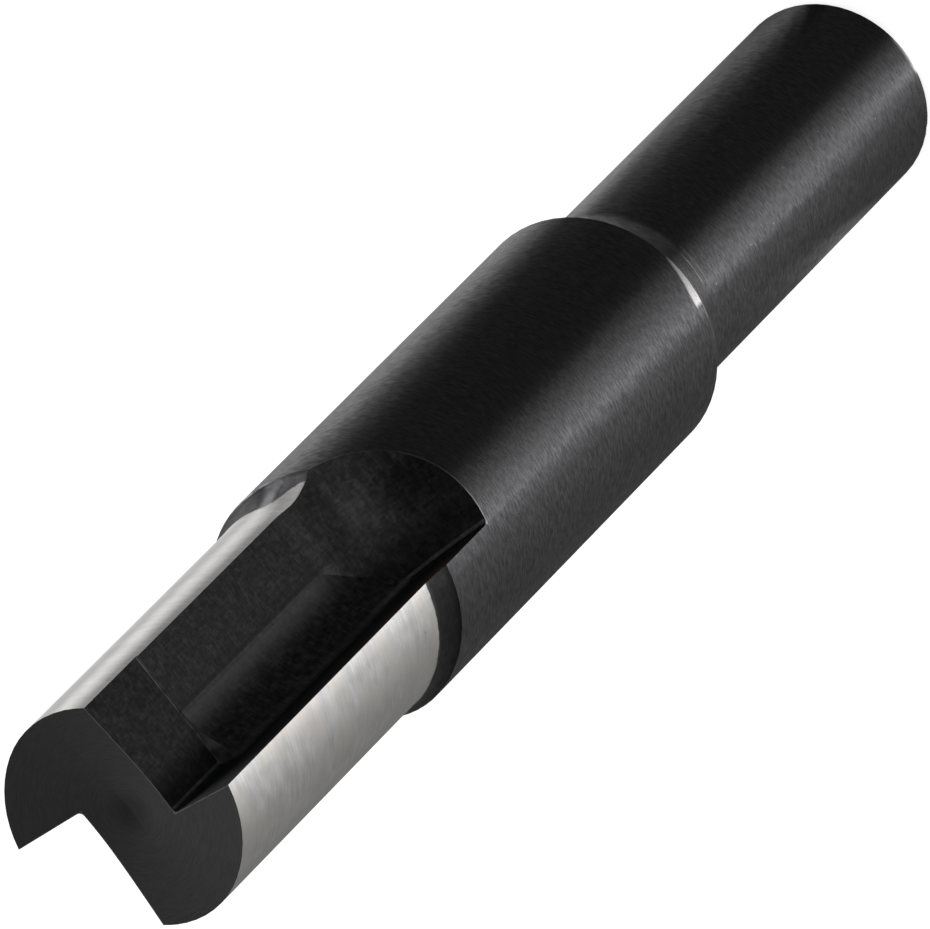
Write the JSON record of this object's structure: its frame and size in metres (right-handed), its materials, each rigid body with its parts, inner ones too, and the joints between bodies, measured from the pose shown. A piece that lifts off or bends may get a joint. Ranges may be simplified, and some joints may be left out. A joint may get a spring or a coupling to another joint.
{
  "type": "wood milling cutter",
  "caption": "Two-flute straight wood milling cutter in dark steel, with a plain round shank, a thicker body and bright ground lands.",
  "frame": {"origin": "centre of the shank's flat end face, which the cutter stands on", "axes": "+Z along the cutter's axis, from the shank end to the cutting end; -Y is the side that flute 1 opens towards"},
  "size_m": [0.02, 0.02, 0.1284],
  "materials": {
    "steel": "black oxide, with bright ground lands"
  },
  "bodies": {
    "root": {"cutter": "steel"}
  },
  "joints": []
}
